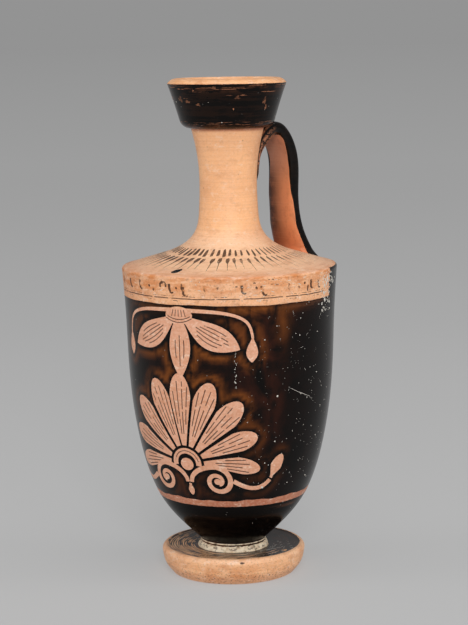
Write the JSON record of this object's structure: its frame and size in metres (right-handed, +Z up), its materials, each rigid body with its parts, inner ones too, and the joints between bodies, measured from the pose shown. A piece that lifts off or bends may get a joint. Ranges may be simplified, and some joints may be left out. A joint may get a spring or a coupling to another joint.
{
  "type": "lekythos",
  "caption": "Slender clay oil flask with a disc foot, a tall body, a narrow neck, a bell mouth and one strap handle.",
  "frame": {"origin": "centre of the foot's resting ring, on the wheel axis", "axes": "+Z up the wheel axis to the mouth, +Y towards the handle, -Y the painted front"},
  "size_m": [0.0768, 0.0768, 0.178],
  "materials": {
    "clay": "bare fired clay, satin, with a glossy black coat on body, mouth, handle and foot top"
  },
  "bodies": {
    "root": {"lekythos": "clay"}
  },
  "joints": []
}
